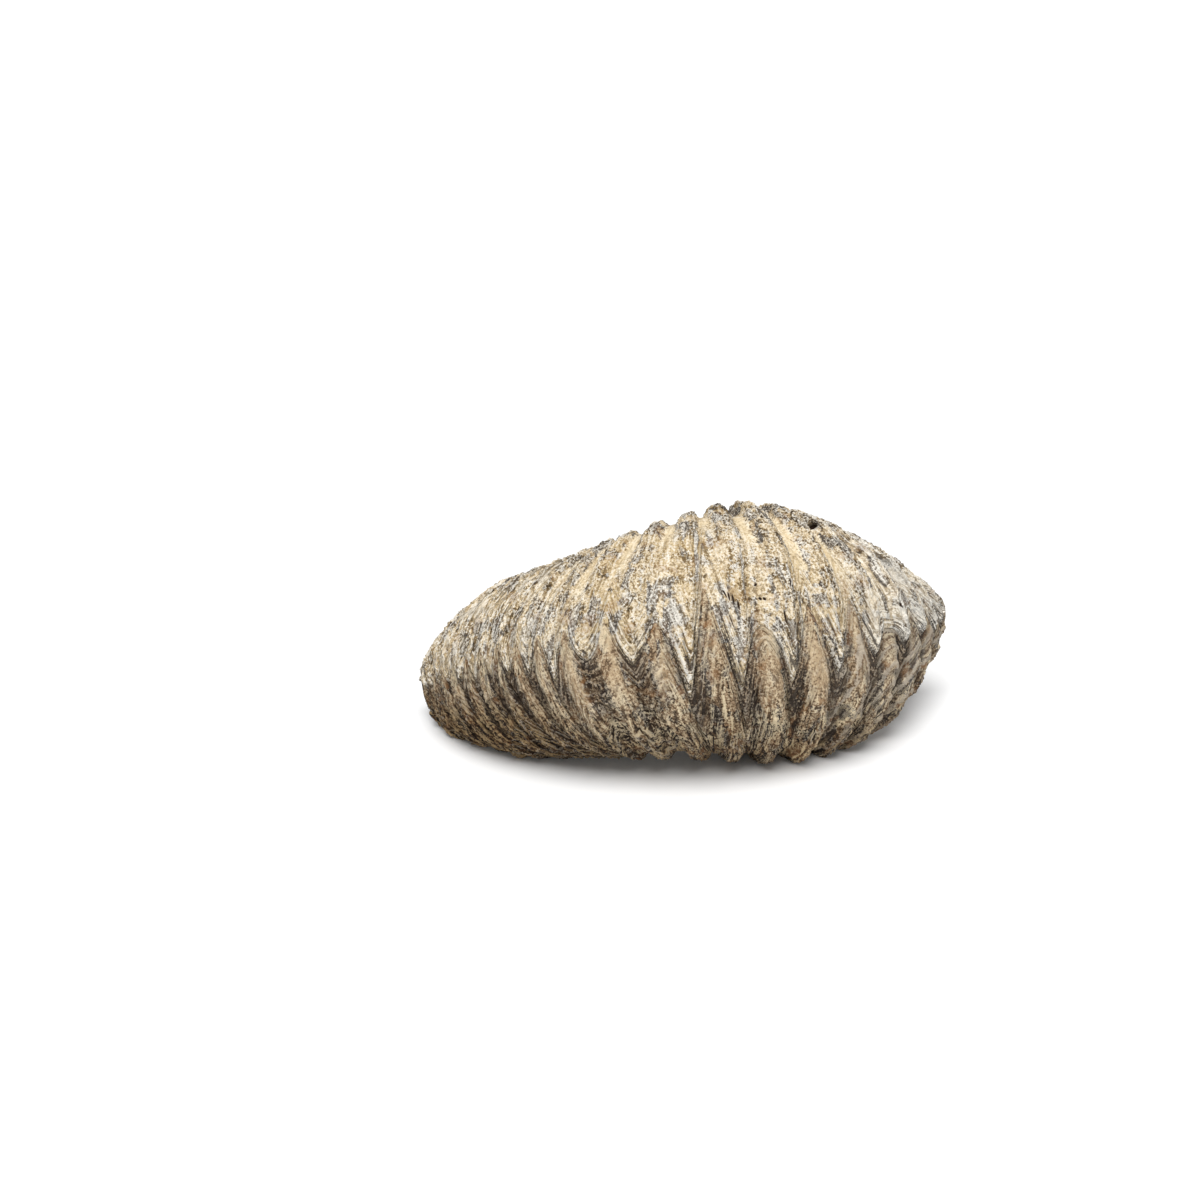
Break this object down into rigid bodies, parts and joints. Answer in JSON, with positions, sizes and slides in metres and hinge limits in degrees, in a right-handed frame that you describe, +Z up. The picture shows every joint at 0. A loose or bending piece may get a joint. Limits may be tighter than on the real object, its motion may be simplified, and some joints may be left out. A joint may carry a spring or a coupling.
{
  "type": "fossil oyster",
  "caption": "Closed crescent-shaped fossil oyster with fanned ribs and a zigzag margin, lying on its lower valve",
  "frame": {"origin": "on the surface that the shell lies on, under the middle of its bounding box", "axes": "+Z up, +X along the length of the crescent from the long tapered end to the blunt end, -Y towards the convex side with the zigzag margin"},
  "size_m": [0.1242, 0.0486, 0.0547],
  "materials": {
    "upper_shell": "matte",
    "lower_shell": "matte"
  },
  "bodies": {
    "root": {"upper_valve": "upper_shell", "lower_valve": "lower_shell"}
  },
  "joints": []
}
